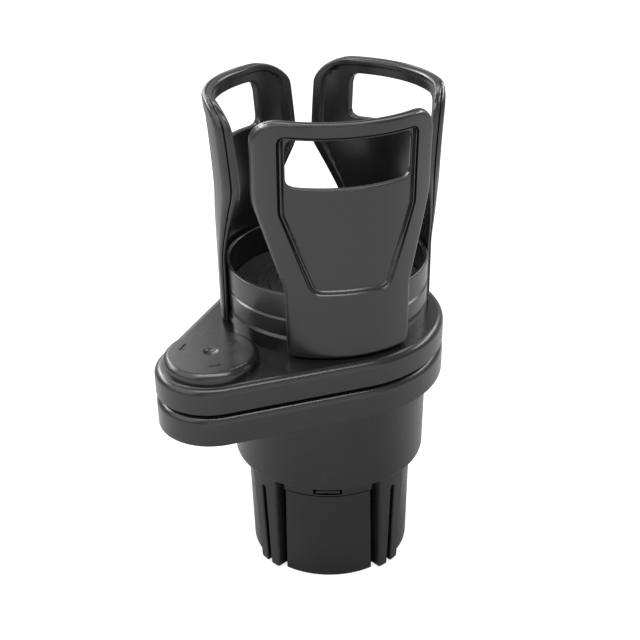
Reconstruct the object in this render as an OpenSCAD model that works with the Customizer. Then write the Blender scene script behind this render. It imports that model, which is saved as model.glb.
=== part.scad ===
// Two-level cup holder for a car: the base spreads four blades inside the car's own cup well,
// the lower cup stands on it, and a second cup with three claw arms swings aside on a pivot.
// Origin: centre of the base's foot. +Z is up and the pivot lies on -X.

/* [Base] */
// Radius of the base panels at the foot
base_r = 33; // [31:0.5:35]
// How much wider the base is at its top than at its foot
base_draft = 1; // [0.4:0.1:1.6]
// Wall of the base
base_wall = 2.4; // [1.8:0.1:3]
// Height of the lower cup's bottom edge above the floor
base_h = 47.7; // [42:0.1:56]
// Height of the plain band above the base's windows
band_h = 6.6; // [5:0.1:9]
// Thickness of the base's closing floor
base_floor_t = 2.4; // [1.8:0.1:3.2]

/* [Blades] */
// Width of a blade at its foot
blade_foot_w = 11; // [8:0.1:13]
// Width of a blade at its top
blade_top_w = 13.8; // [11:0.1:15]
// How far a blade stands proud of the panels at its foot
blade_proud = 2.4; // [1.5:0.1:3]
// How far a blade leans out towards its top
blade_lean = 1.9; // [0.5:0.1:2.3]
// Depth of a blade, from its face inwards
blade_t = 4.6; // [3.6:0.1:5.5]
// Width of the slit between a blade's prongs
blade_slit = 1.5; // [1:0.1:2.5]
// Gap between a blade and the panels beside it
panel_gap = 1.6; // [1:0.1:2.4]
// How far the blades travel outwards
blade_travel = 5; // [3:0.1:6]
// Angle that the base turns to spread the blades
base_turn = 60; // [45:1:75]

/* [Lower cup] */
// Outer radius of the lower cup at its bottom edge
cup_edge_r = 39; // [37:0.1:41]
// Outer radius of the lower cup under its plate
cup_neck_r = 39.8; // [38:0.1:41.5]
// Wall of the lower cup
cup_wall = 2.4; // [1.8:0.1:3]
// Thickness of the cup floors
cup_floor_t = 2.4; // [2:0.1:3]
// Height of the lower cup's outside below its plate
neck_h = 36.8; // [28:0.1:48]

/* [Plates] */
// Radius of the plates round the cups
plate_cup_r = 46; // [45.5:0.1:50]
// Radius of the plates round the pivot
plate_pivot_r = 21; // [19.5:0.1:24]
// Distance from the cup's axis to the pivot
pivot_reach = 59; // [57:0.1:66]
// Thickness of the lower plate
lower_plate_t = 11.8; // [11:0.1:15]
// Thickness of the swinging plate
swing_plate_t = 10.3; // [9:0.1:13]
// Gap between the two plates, which the pivot's washer fills
plate_gap = 1.4; // [1:0.1:2]
// Rounding of the plates' top edges
plate_round = 3; // [1:0.1:3.6]
// Thickness of the plates' top skins
plate_skin = 2.4; // [1.8:0.1:3]
// Thickness of the plates' side walls
plate_side = 2.2; // [1.6:0.1:2.8]

/* [Pivot] */
// Radius of the pivot bolt's shoulder
pivot_r = 5; // [4:0.1:6]
// Radius of the cap's flat top
cap_top_r = 15.6; // [13:0.1:16.5]
// Radius of the cap's foot
cap_foot_r = 17.6; // [16.8:0.1:18.6]
// Height of the cap
cap_h = 4.3; // [4:0.1:6]
// Radius of the finger dimple in the cap
dimple_r = 2.7; // [2:0.1:4]

/* [Upper cup] */
// Outer radius of the upper cup's ring
ring_r = 39.2; // [38:0.1:40]
// Wall of the upper cup's ring
ring_wall = 1.8; // [1.4:0.1:2.2]
// Height of the ring above its guide
ring_h = 17.2; // [13:0.1:24]
// Height of the guide that carries the arms' feet
guide_h = 7.1; // [7:0.1:9]
// Height of the groove round the ring, above the ring's lower edge
ring_groove_z = 7.9; // [5:0.1:10]
// Width of the grooves round the ring and its guide
groove_w = 1.5; // [0.8:0.1:2]
// Angle that the ring turns to open the arms
ring_turn = 100; // [80:1:106]

/* [Arms] */
// Height of an arm
arm_h = 89.2; // [80:0.1:104]
// Outer radius of an arm at its lower end
arm_r = 42.1; // [42:0.1:43]
// How far an arm's top flares out
arm_flare = 2.2; // [1:0.1:4]
// Wall of an arm at its lower end
arm_wall = 2.4; // [2:0.1:2.5]
// Wall of an arm at its upper part
arm_lip = 4.2; // [3:0.1:4.5]
// Width of an arm's lower end
arm_foot_w = 46.4; // [42:0.1:50]
// Width of an arm's upper part
arm_top_w = 64.6; // [60:0.1:68]
// Width of an arm's window
window_w = 44; // [36:0.1:46]
// Height of an arm's window
window_h = 17.4; // [12:0.1:20]
// Thickness of the frame over the window
window_drop = 6.2; // [5:0.1:9]
// How far an arm travels outwards
arm_travel = 9; // [6:0.1:10]
// Angle by which the arms are turned from the pivot's line
arm_phase = -1; // [-10:0.5:10]

/* [Hidden] */

// Clearances and the overrun of every cut
fit = 0.05;
gap = 0.3;
over = 1;
plate_fn = 96;
curve_fn = 64;

// Heights of the lower half, from the floor up
plate_z = base_h + neck_h;
lower_top = plate_z + lower_plate_t;
swing_z = lower_top + plate_gap;
swing_top = swing_z + swing_plate_t;
cup_floor_z = base_h + gap;
base_top = base_h - gap;
scroll_t = 3.4;
slider_t = 2.6;
lower_scroll_z = cup_floor_z - scroll_t;
bar_z = lower_scroll_z - gap - slider_t;
base_deck_t = 2.4;
base_deck_z = bar_z - gap - base_deck_t;
pin_top_gap = 0.8;

// Heights of the upper half
guide_floor_t = 1.2;
foot_t = 2.2;
foot_z = swing_top + guide_floor_t + gap;
guide_top = swing_top + guide_h;
ring_z = guide_top + gap;
upper_scroll_z = foot_z + foot_t + gap;
ring_floor_z = ring_z;
ring_top = ring_z + ring_h;
arm_gap = 0.9;
arm_z = swing_top + arm_gap;

// Pins, hubs and screws
blade_pin_r = 1.8;
blade_pin_at = 16;
arm_pin_r = 2;
arm_pin_at = 20;
pin_gap = 0.45;
hub_r = 4;
hub_wall = 2.2;
screw_r = 1.2;
screw_head_r = 2.4;
screw_head_t = 1.3;
screw_ring_r = 11.5;
rib_t = 1.8;
blade_angles = [0, 90, 180, 270];
arm_angles = [arm_phase, arm_phase + 120, arm_phase + 240];
shell = [0.09, 0.09, 0.095];

// Points of an arc
function arc(cx, cy, r, a0, a1, n) =
    [for (i = [0:n]) [cx + r * cos(a0 + (a1 - a0) * i / n), cy + r * sin(a0 + (a1 - a0) * i / n)]];

// Outline of two circles and their common tangents, the second circle on -X
function teardrop(r1, r2, reach, n) =
    let (a = acos((r1 - r2) / reach))
    concat(arc(0, 0, r1, a - 180, 180 - a, n), arc(-reach, 0, r2, 180 - a, 180 + a, n));

// Outline with each corner rounded by its own radius
function unit(v) = v / norm(v);
function turn_to(a, b) = (b - a + 540) % 360 - 180;
function corner(p, q, s, r, n) =
    let (u = unit(p - q), v = unit(s - q), half = acos(u * v) / 2,
         c = q + unit(u + v) * r / sin(half), d = r / tan(half),
         a = q + u * d - c, b = q + v * d - c,
         a0 = atan2(a[1], a[0]), sweep = turn_to(a0, atan2(b[1], b[0])))
    [for (i = [0:n]) c + r * [cos(a0 + sweep * i / n), sin(a0 + sweep * i / n)]];
function rounded(pts, radii, n) =
    let (m = len(pts))
    [for (i = [0:m - 1]) each corner(pts[(i + m - 1) % m], pts[i], pts[(i + 1) % m], radii[i], n)];

// Outline that is the same on both sides, given by its right half from bottom to top
function both_sides(half) =
    concat(half, [for (i = [len(half) - 1:-1:0]) [-half[i][0], half[i][1]]]);
function twice(list) = concat(list, [for (i = [len(list) - 1:-1:0]) list[i]]);

// Spiral slot whose radius grows by travel over turn degrees, cut for a pin
function spiral(r, travel, turn, half, n) =
    let (lead = half / r * 180 / PI)
    concat([for (i = [0:n]) let (t = -lead + (turn + 2 * lead) * i / n)
               (r + travel * t / turn + half) * [cos(-t), sin(-t)]],
           [for (i = [n:-1:0]) let (t = -lead + (turn + 2 * lead) * i / n)
               (r + travel * t / turn - half) * [cos(-t), sin(-t)]]);

module tube(r_out, r_in, h) {
    difference() {
        cylinder(h = h, r = r_out, $fn = curve_fn);
        translate([0, 0, -over]) cylinder(h = h + 2 * over, r = r_in, $fn = curve_fn);
    }
}

// Pan-head screw standing on its tip, its head at the top
module screw(len) {
    cylinder(h = len, r = screw_r, $fn = curve_fn);
    translate([0, 0, len]) cylinder(h = screw_head_t, r = screw_head_r, $fn = curve_fn);
}

module screw_holes(count, at, z, h, r) {
    for (i = [0:count - 1])
        rotate(360 / count * (i + 1 / 2)) translate([at, 0, z]) cylinder(h = h, r = r, $fn = curve_fn);
}

// Base

blade_tip_gap = 0.5;
blade_h = base_top - 2 * blade_tip_gap;
blade_foot_r = base_r + blade_proud;
band_z = base_top - band_h;
bar_w = 8;
bar_in = 12;
tongue_w = 6;
tongue_t = 2.6;
tongue_in = 22;
tongue_z = base_floor_t + gap;
latch_w = 11.4;
latch_h = 2.4;
latch_end = 0.9;
seam_w = 0.4;
seam_depth = 0.4;
floor_r = base_r - base_wall - gap;
floor_screw_at = 15;
floor_boss_r = 4.2;

function blade_w_at(z) = blade_foot_w + (blade_top_w - blade_foot_w) * z / base_h;

// Radial prism through the wall, from an outline of side and height
module radial_cut(from, to, outline) {
    translate([from, 0, 0]) rotate([90, 0, 90]) linear_extrude(to - from) polygon(outline);
}

module blade_window(side, z0, z1) {
    inner = blade_foot_r - blade_t;
    radial_cut(sqrt(inner * inner - blade_top_w * blade_top_w / 4) - 2 * gap, base_r + 2 * base_wall,
               both_sides([[blade_w_at(z0) / 2 + side, z0], [blade_w_at(z1) / 2 + side, z1]]));
}

module base_body() color(shell) {
    inner = base_r - base_wall;
    difference() {
        union() {
            difference() {
                cylinder(h = base_top, r1 = base_r, r2 = base_r + base_draft, $fn = plate_fn);
                translate([0, 0, -over]) cylinder(h = base_top + 2 * over, r = inner, $fn = plate_fn);
            }
            translate([0, 0, base_deck_z]) cylinder(h = base_deck_t, r = inner + gap, $fn = plate_fn);
            // posts that the floor is screwed to
            screw_posts();
            // ribs that guide the blades' bars
            for (a = blade_angles) rotate(a) bar_ribs();
            // hub that the scroll turns on
            translate([0, 0, base_deck_z])
                cylinder(h = lower_scroll_z - fit - base_deck_z, r = hub_r + hub_wall, $fn = curve_fn);
        }
        for (a = blade_angles) rotate(a) {
            blade_window(panel_gap, -over, band_z);
            blade_window(gap * 2, band_z - over, base_top + over);
        }
        // one latch window in the middle of each panel's band
        for (a = blade_angles) rotate(a + 45)
            translate([inner - over, -latch_w / 2, base_top - band_h / 2 - latch_h])
            cube([base_wall + base_draft + 2 * over, latch_w, latch_h]);
        translate([0, 0, base_deck_z - over])
            cylinder(h = lower_scroll_z - base_deck_z + 2 * over, r = hub_r + fit, $fn = curve_fn);
        screw_holes(3, floor_screw_at, base_floor_t - over, base_deck_z - over, screw_r + fit);
        // fine parting line under the band
        rotate_extrude($fn = plate_fn) polygon([
            [base_r + base_draft - seam_depth, band_z], [base_r + 2 * base_draft, band_z],
            [base_r + 2 * base_draft, band_z + seam_w], [base_r + base_draft - seam_depth, band_z + seam_w]]);
    }
    for (a = blade_angles) rotate(a + 45) latch_tab(inner);
}

// Sprung tab that stands on the deck and fills a latch window
module latch_tab(inner) {
    tab_z = base_top - band_h / 2 - latch_h + latch_h / 4;
    root_t = 1.6;
    translate([inner - 2 * root_t, -latch_w / 2 + latch_end, base_deck_z + base_deck_t - fit])
        cube([root_t, latch_w - 2 * latch_end, tab_z + latch_h / 2 - base_deck_z - base_deck_t + fit]);
    translate([inner - 2 * root_t, -latch_w / 2 + latch_end, tab_z])
        cube([base_wall + base_draft + root_t, latch_w - 2 * latch_end, latch_h / 2]);
}

module screw_posts() {
    for (i = [0:2]) rotate(120 * (i + 1 / 2)) translate([floor_screw_at, 0, base_floor_t])
        cylinder(h = base_deck_z - base_floor_t + over, r = floor_boss_r, $fn = curve_fn);
}

module bar_ribs() {
    for (s = [-1, 1])
        translate([bar_in + rib_t, s * (bar_w / 2 + gap + rib_t / 2) - rib_t / 2,
                   base_deck_z + base_deck_t - fit])
            cube([base_r - base_wall - bar_in - rib_t - blade_t, rib_t, slider_t]);
}

module base_floor() color(shell) {
    difference() {
        cylinder(h = base_floor_t, r = floor_r, $fn = plate_fn);
        // clearance for the blades' inner faces
        for (a = blade_angles) rotate(a)
            translate([blade_foot_r - blade_t - gap * 2, -blade_foot_w / 2 - panel_gap, -over])
                cube([blade_t + base_r, blade_foot_w + 2 * panel_gap, base_floor_t + 2 * over]);
        screw_holes(3, floor_screw_at, -over, base_floor_t + 2 * over, screw_r + fit);
        screw_holes(3, floor_screw_at, -over, screw_head_t + over + fit, screw_head_r + fit);
    }
    // rails that guide the blades' tongues
    for (a = blade_angles) rotate(a) for (s = [-1, 1])
        translate([tongue_in, s * (tongue_w / 2 + gap + base_wall / 4) - base_wall / 4, base_floor_t - fit])
            cube([blade_foot_r - blade_t - gap * 3 - tongue_in, base_wall / 2, tongue_t]);
}

module floor_screws() color("silver") {
    screw_len = 9;
    for (i = [0:2]) rotate(120 * (i + 1 / 2)) translate([floor_screw_at, 0, screw_head_t])
        mirror([0, 0, 1]) translate([0, 0, -screw_len]) screw(screw_len);
}

module blade(a) {
    foot_z0 = blade_tip_gap;
    lean_r = blade_foot_r + blade_lean;
    chamfer = 1.2;
    rotate(a) difference() {
        union() {
            intersection() {
                rotate([0, 0, -45]) rotate_extrude(angle = 90, $fn = plate_fn)
                    polygon([[blade_foot_r - blade_t, foot_z0], [blade_foot_r - chamfer, foot_z0],
                             [blade_foot_r, foot_z0 + chamfer], [lean_r, foot_z0 + blade_h],
                             [lean_r - blade_t, foot_z0 + blade_h]]);
                radial_cut(base_r / 2, base_r + 2 * blade_t,
                           both_sides([[blade_foot_w / 2, 0], [blade_top_w / 2, base_h]]));
            }
            // bar that the scroll drives, with its pin
            translate([bar_in, -bar_w / 2, bar_z]) cube([blade_foot_r - bar_in, bar_w, slider_t]);
            translate([blade_pin_at, 0, bar_z]) cylinder(
                h = cup_floor_z - pin_top_gap - bar_z, r = blade_pin_r, $fn = curve_fn);
            // tongue that slides on the base's floor
            translate([tongue_in, -tongue_w / 2, tongue_z])
                cube([blade_foot_r - blade_t / 2 - tongue_in, tongue_w, tongue_t]);
        }
        // slit between the two prongs, open at the foot
        slit_top = bar_z - 2 * gap;
        translate([blade_foot_r - 2 * blade_t / 3, -blade_slit / 2, -over])
            cube([blade_t * 2, blade_slit, slit_top + over]);
    }
}

module blade_1() color(shell) blade(blade_angles[0]);
module blade_2() color(shell) blade(blade_angles[1]);
module blade_3() color(shell) blade(blade_angles[2]);
module blade_4() color(shell) blade(blade_angles[3]);

// Plate with one spiral slot for each pin, turned by the cup above it
module scroll(r, z, t, bore, angles, pin_at, travel, turn, half) {
    slot_steps = 20;
    translate([0, 0, z]) difference() {
        cylinder(h = t, r = r, $fn = plate_fn);
        translate([0, 0, -over]) cylinder(h = t + 2 * over, r = bore, $fn = curve_fn);
        for (a = angles) rotate(a) translate([0, 0, -over])
            linear_extrude(t + 2 * over) polygon(spiral(pin_at, travel, turn, half, slot_steps));
    }
}

lower_scroll_r = base_r - base_wall - 2 * gap;
scroll_screw_at = 9;

module lower_scroll() color([0.16, 0.16, 0.17]) {
    difference() {
        scroll(lower_scroll_r, lower_scroll_z, scroll_t, hub_r + pin_gap, blade_angles, blade_pin_at,
               blade_travel, base_turn, blade_pin_r + pin_gap);
        screw_holes(4, scroll_screw_at, lower_scroll_z - over, scroll_t + 2 * over, screw_r + fit);
        screw_holes(4, scroll_screw_at, lower_scroll_z - over, over + screw_head_t + fit, screw_head_r + fit);
    }
}

module scroll_screws() color("silver") {
    screw_len = scroll_t - screw_head_t + cup_floor_t - gap;
    for (i = [0:3]) rotate(90 * (i + 1 / 2)) translate([scroll_screw_at, 0, lower_scroll_z + screw_head_t])
        mirror([0, 0, 1]) translate([0, 0, -screw_len]) screw(screw_len);
}

bolt_head_r = 7;
bolt_head_t = 2.4;
bolt_thread_r = 2.6;
mat_t = 3;
cup_boss_h = mat_t - gap;
cup_boss_r = bolt_thread_r + cup_wall;
cup_boss_skin = cup_wall / 2;

module base_bolt() color("silver") {
    translate([0, 0, base_deck_z - fit - bolt_head_t])
        cylinder(h = bolt_head_t, r = bolt_head_r, $fn = curve_fn);
    translate([0, 0, base_deck_z - fit]) cylinder(h = cup_floor_z - base_deck_z, r = hub_r, $fn = curve_fn);
    translate([0, 0, cup_floor_z - over])
        cylinder(h = over + cup_floor_t + cup_boss_h - cup_boss_skin - gap, r = bolt_thread_r, $fn = curve_fn);
}

// Lower cup and plates

// Disc with a rounded top edge
module round_disc(r, h, e) {
    rotate_extrude($fn = plate_fn)
        polygon(concat([[0, 0], [r, 0]], arc(r - e, h - e, e, 0, 90, 5), [[0, h]]));
}

module plate_block(h) {
    hull() {
        round_disc(plate_cup_r, h, plate_round);
        translate([-pivot_reach, 0, 0]) round_disc(plate_pivot_r, h, plate_round);
    }
}

// Space under a plate's top skin, inside its side walls
module plate_hollow(h) {
    translate([0, 0, -over]) linear_extrude(h - plate_skin + over)
        polygon(teardrop(plate_cup_r - plate_side, plate_pivot_r - plate_side, pivot_reach, plate_fn / 2));
}

boss_r = pivot_r + 4.5;
nut_h = 2.8;
spring_h = 2.4;
pivot_boss_z = plate_z + nut_h + spring_h + gap;

module plate_ribs(h, from) {
    for (a = [-24, 0, 24]) translate([-pivot_reach, 0, 0]) rotate(a)
        translate([0, -rib_t / 2, from]) cube([pivot_reach, rib_t, h - from - over]);
    for (a = [90, 270]) translate([-pivot_reach, 0, 0]) rotate(a)
        translate([0, -rib_t / 2, from]) cube([plate_pivot_r - plate_side / 2, rib_t, h - from - over]);
}

module lower_cup() color(shell) {
    cup_r0 = cup_edge_r - cup_wall;
    cup_r1 = cup_neck_r - cup_wall;
    difference() {
        union() {
            difference() {
                translate([0, 0, plate_z]) plate_block(lower_plate_t);
                translate([0, 0, plate_z]) difference() {
                    plate_hollow(lower_plate_t);
                    plate_ribs(lower_plate_t, plate_side);
                }
            }
            translate([0, 0, base_h]) cylinder(h = neck_h + lower_plate_t - plate_skin / 2,
                                               r1 = cup_edge_r, r2 = cup_neck_r, $fn = plate_fn);
            translate([-pivot_reach, 0, pivot_boss_z])
                cylinder(h = lower_top - pivot_boss_z - plate_skin / 2, r = boss_r, $fn = curve_fn);
        }
        translate([0, 0, cup_floor_z + cup_floor_t])
            cylinder(h = lower_top - cup_floor_z - cup_floor_t + over,
                     r1 = cup_r0, r2 = cup_r1, $fn = plate_fn);
        translate([0, 0, base_h - over]) cylinder(h = gap + over, r = cup_r0, $fn = plate_fn);
        translate([-pivot_reach, 0, plate_z - over])
            cylinder(h = lower_plate_t + 2 * over, r = pivot_r + fit, $fn = curve_fn);
        // room for the springs and the nut in the middle of the ribs
        translate([-pivot_reach, 0, plate_z - over])
            cylinder(h = pivot_boss_z - plate_z + over, r = boss_r + gap, $fn = curve_fn);
        translate([0, 0, base_h - over])
            cylinder(h = cup_floor_t + 2 * over, r = bolt_thread_r + fit, $fn = curve_fn);
        screw_holes(4, scroll_screw_at, base_h - over, over + cup_floor_t, screw_r + fit);
    }
    // closed boss inside the cup that takes the thread of the base's bolt
    translate([0, 0, cup_floor_z + cup_floor_t - fit]) rotate_extrude($fn = curve_fn)
        polygon([[bolt_thread_r + fit, 0], [cup_boss_r, 0], [cup_boss_r, cup_boss_h], [0, cup_boss_h],
                 [0, cup_boss_h - cup_boss_skin], [bolt_thread_r + fit, cup_boss_h - cup_boss_skin]]);
}

module lower_mat() color([0.13, 0.13, 0.13]) {
    translate([0, 0, cup_floor_z + cup_floor_t])
        tube(cup_edge_r - cup_wall - gap, bolt_thread_r + cup_wall + gap, mat_t);
}

// Pivot

pivot_head_r = 9;
pivot_head_t = 2.2;
pivot_thread_r = 4;

module pivot_bolt() color("silver") translate([-pivot_reach, 0, 0]) {
    translate([0, 0, plate_z + gap]) cylinder(h = pivot_boss_z - plate_z, r = pivot_thread_r, $fn = curve_fn);
    translate([0, 0, pivot_boss_z]) cylinder(h = swing_top + fit - pivot_boss_z, r = pivot_r, $fn = curve_fn);
    translate([0, 0, swing_top + fit]) cylinder(h = pivot_head_t, r = pivot_head_r, $fn = curve_fn);
}

module pivot_washer() color([0.75, 0.74, 0.7]) {
    translate([-pivot_reach, 0, lower_top])
        tube(pivot_head_r + 4 * plate_gap, pivot_r + fit, plate_gap - fit);
}

// Two dished spring washers, back to back
module pivot_springs() color("silver") translate([-pivot_reach, 0, 0]) {
    spring_t = 0.7;
    half = spring_h / 2;
    for (up = [0, 1])
        translate([0, 0, pivot_boss_z - half]) mirror([0, 0, up]) rotate_extrude($fn = curve_fn)
            polygon([[pivot_thread_r + 2 * fit, half - fit], [pivot_thread_r + 2 * fit, half - fit - spring_t],
                     [boss_r - over, fit / 2], [boss_r - over, fit / 2 + spring_t]]);
}

module pivot_nut() color("silver") {
    translate([-pivot_reach, 0, plate_z + 2 * gap]) difference() {
        cylinder(h = nut_h - gap - fit, r = pivot_thread_r * 1.8, $fn = 6);
        translate([0, 0, -over]) cylinder(h = nut_h + 2 * over, r = pivot_thread_r + fit, $fn = curve_fn);
    }
}

swing_boss_r = 8;

module swing_plate() color(shell) {
    difference() {
        union() {
            difference() {
                translate([0, 0, swing_z]) plate_block(swing_plate_t);
                translate([0, 0, swing_z]) difference() {
                    plate_hollow(swing_plate_t);
                    plate_ribs(swing_plate_t, plate_side);
                }
            }
            translate([-pivot_reach, 0, swing_z])
                cylinder(h = swing_plate_t - plate_skin / 2, r = boss_r, $fn = curve_fn);
            translate([0, 0, swing_z + gap])
                cylinder(h = swing_plate_t - plate_skin / 2, r = swing_boss_r, $fn = curve_fn);
            // ring of ribs under the upper cup
            translate([0, 0, swing_z + plate_side])
                tube(ring_r - rib_t, ring_r - 2 * rib_t, swing_plate_t - plate_side - plate_skin / 2);
        }
        translate([-pivot_reach, 0, swing_z - over])
            cylinder(h = swing_plate_t + 2 * over, r = pivot_r + fit, $fn = curve_fn);
        translate([0, 0, swing_z + plate_side])
            cylinder(h = swing_plate_t + over, r = bolt_thread_r + fit, $fn = curve_fn);
        guide_screw_holes(swing_top - plate_skin - over, plate_skin + 2 * over, screw_r + fit);
        // room for the screws' heads in the ribs
        guide_screw_holes(swing_z, swing_plate_t - plate_skin, screw_head_r + 2 * gap);
    }
}

// Cap's side between its foot and its top: shares of the step and of the height
cap_shares = [[0.95, 0.57], [0.65, 0.76], [0.3, 0.93]];
dimple_ball_share = 2.2;

// Cap over the pivot bolt, with a finger dimple
module pivot_cap() color(shell) {
    step = cap_foot_r - cap_top_r;
    cap_skin = 1.6;
    ball_r = dimple_r * dimple_ball_share;
    translate([-pivot_reach, 0, swing_top]) difference() {
        rotate_extrude($fn = plate_fn) polygon([
            [0, 0], [cap_foot_r, 0], for (q = cap_shares) [cap_top_r + step * q[0], cap_h * q[1]],
            [cap_top_r, cap_h], [0, cap_h]]);
        translate([0, 0, -over])
            cylinder(h = cap_h - cap_skin + over, r = cap_top_r - cap_skin, $fn = curve_fn);
        translate([0, 0, cap_h + sqrt(ball_r * ball_r - dimple_r * dimple_r)])
            sphere(r = ball_r, $fn = curve_fn);
    }
}

// Upper cup

arm_foot_half = 10;
arm_foot_in = 14;
guide_screw_at = 31;
guide_wall = 2.2;
guide_boss_r = 3.2;

module guide_screw_holes(z, h, r) {
    for (a = arm_angles) rotate(a + 60) translate([guide_screw_at, 0, z])
        cylinder(h = h, r = r, $fn = curve_fn);
}

groove_depth = groove_w * 5 / 12;
groove_slope = groove_w * 3 / 4;

// V-groove profile round a wall of radius r, its upper face flat and its lower face sloped
module ring_groove(r, z) {
    rotate_extrude($fn = plate_fn)
        polygon([[r - groove_depth, z], [r + over, z], [r + over, z - groove_w - over * groove_w / groove_depth],
                 [r, z - groove_w], [r - groove_depth, z - groove_w + groove_slope]]);
}

module arm_guide() color(shell) {
    inner = ring_r - guide_wall;
    floor_top = swing_top + guide_floor_t;
    difference() {
        union() {
            // tier with a sloped upper edge, which reads as the ring's second groove,
            // its floor with the seat under the ring bolt's shoulder, and the hub
            rotate_extrude($fn = plate_fn) polygon([
                [bolt_thread_r + fit, swing_top], [ring_r, swing_top], [ring_r, guide_top - groove_slope],
                [ring_r - groove_depth, guide_top], [inner, guide_top], [inner, floor_top],
                [hub_r + hub_wall, floor_top], [hub_r + hub_wall, upper_scroll_z - fit],
                [hub_r + fit, upper_scroll_z - fit], [hub_r + fit, floor_top], [bolt_thread_r + fit, floor_top]]);
            for (a = arm_angles) rotate(a) foot_ribs(inner);
            guide_screw_bosses();
        }
        // windows for the arms' feet
        for (a = arm_angles) rotate(a)
            translate([ring_r - 2 * guide_wall, -arm_foot_half - gap, floor_top + 2 * fit])
                cube([3 * guide_wall, 2 * (arm_foot_half + gap), foot_t + 2 * (gap - fit)]);
        guide_screw_holes(swing_top - over, over + guide_floor_t + foot_t - gap, screw_r + fit);
    }
}

module guide_screw_bosses() {
    for (a = arm_angles) rotate(a + 60) translate([guide_screw_at, 0, swing_top + guide_floor_t / 2])
        cylinder(h = guide_floor_t / 2 + foot_t, r = guide_boss_r, $fn = curve_fn);
}

module foot_ribs(inner) {
    side = arm_foot_half + gap + 2 * fit + rib_t / 2;
    for (s = [-1, 1])
        translate([arm_foot_in, s * side - rib_t / 2, swing_top + guide_floor_t - fit])
            cube([inner - gap - arm_foot_in, rib_t, foot_t]);
}

module guide_screws() color("silver") {
    screw_len = plate_skin + guide_floor_t + foot_t - 2 * gap;
    for (a = arm_angles) rotate(a + 60) translate([guide_screw_at, 0, swing_top - plate_skin])
        mirror([0, 0, 1]) translate([0, 0, -screw_len]) screw(screw_len);
}

module ring_bolt() color("silver") {
    shoulder_z = swing_top + guide_floor_t;
    translate([0, 0, ring_floor_z + cup_floor_t + fit])
        cylinder(h = bolt_head_t, r = bolt_head_r, $fn = curve_fn);
    translate([0, 0, shoulder_z])
        cylinder(h = ring_floor_z + cup_floor_t + fit - shoulder_z, r = hub_r, $fn = curve_fn);
    translate([0, 0, swing_z + plate_side + gap])
        cylinder(h = shoulder_z - swing_z - plate_side, r = bolt_thread_r, $fn = curve_fn);
}

module cup_ring() color(shell) {
    inner = ring_r - ring_wall;
    rim = 0.5;
    difference() {
        rotate_extrude($fn = plate_fn) polygon([
            [hub_r + fit, ring_z], [ring_r, ring_z], [ring_r, ring_top - rim], [ring_r - rim, ring_top],
            [inner + rim, ring_top], [inner, ring_top - rim], [inner, ring_floor_z + cup_floor_t],
            [hub_r + fit, ring_floor_z + cup_floor_t]]);
        ring_groove(ring_r, ring_z + ring_groove_z);
        screw_holes(3, screw_ring_r, ring_z - over, cup_floor_t + 2 * over, screw_r + fit);
        screw_holes(3, screw_ring_r, ring_floor_z + cup_floor_t - screw_head_t - fit,
                    over + screw_head_t, screw_head_r + fit);
    }
}

upper_scroll_t = ring_floor_z - upper_scroll_z;

module upper_scroll() color([0.16, 0.16, 0.17]) {
    scroll_r = ring_r - guide_wall - 2 * gap;
    difference() {
        scroll(scroll_r, upper_scroll_z, upper_scroll_t, hub_r + pin_gap, arm_angles, arm_pin_at,
               arm_travel, ring_turn, arm_pin_r + pin_gap);
        screw_holes(3, screw_ring_r, upper_scroll_z - over, upper_scroll_t + 2 * over, screw_r + fit);
    }
}

module ring_screws() color("silver") {
    screw_len = cup_floor_t - screw_head_t + upper_scroll_t - gap;
    for (i = [0:2]) rotate(120 * (i + 1 / 2))
        translate([screw_ring_r, 0, ring_floor_z + cup_floor_t - screw_head_t - screw_len])
        screw(screw_len);
}

module cup_mat() color([0.13, 0.13, 0.13]) {
    translate([0, 0, ring_floor_z + cup_floor_t]) tube(ring_r - ring_wall - gap, bolt_head_r + 2 * gap, mat_t);
}

// Arms

arm_foot_taper = 0.4;
arm_shoulder_share = 0.295;
arm_widest_share = 0.64;
panel_foot_share = 0.287;
panel_wide_share = 0.625;
arm_foot_round = 1;
arm_bend_r = 24;
window_round = 3;
arm_top_bend_r = 9.5;
panel_side = 7.4;
panel_top_drop = 4.7;
panel_foot_side = 7;
panel_bend_r = 4.5;
channel_w = 0.8;
channel_depth = 0.9;
bead_w = 0.8;
panel_depth = 0.5;

// Outline of an arm: side and height, heights counted from the arm's lower end
function arm_outline() =
    let (foot = arm_foot_w / 2, top = arm_top_w / 2,
         half = [[foot - arm_foot_taper, 0], [foot, arm_h * arm_shoulder_share],
                 [top, arm_h * arm_widest_share], [top, arm_h]])
    rounded(both_sides(half), twice([arm_foot_round, arm_bend_r, arm_bend_r, arm_top_bend_r]), 8);

function window_outline() =
    let (z1 = arm_h - window_drop, z0 = z1 - window_h)
    rounded(both_sides([[window_w / 2, z0], [window_w / 2, z1]]), twice([window_round, window_round]), 6);

// Outline of the sunk panel, drawn in by inset
function panel_outline(inset) =
    let (side = arm_top_w / 2 - panel_side - inset, foot = arm_foot_w / 2 - panel_foot_side - inset)
    rounded(both_sides([[foot - panel_bend_r / 3, arm_h * panel_foot_share + inset], [side, arm_h * panel_wide_share],
                        [side, arm_h - panel_top_drop - inset]]),
            twice([panel_bend_r, panel_bend_r, 3 * channel_w]), 6);

// Outer and inner radius of an arm at a share of its height: straight below, it flares towards the top,
// and its wall thickens in the middle
arm_straight_share = 0.35;
arm_thin_share = 0.3;
arm_thick_share = 0.65;
flare_power = 2.2;
function ease(u) = u < 0 ? 0 : u > 1 ? 1 : u * u * (3 - 2 * u);
function arm_wall_at(t) =
    arm_wall + (arm_lip - arm_wall) * ease((t - arm_thin_share) / (arm_thick_share - arm_thin_share));
function flare(t) = t < arm_straight_share ? 0
    : pow((t - arm_straight_share) / (1 - arm_straight_share), flare_power);
function arm_out(t) = arm_r + arm_flare * flare(t);
function arm_in(t) = arm_out(t) - arm_wall_at(t);

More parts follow.
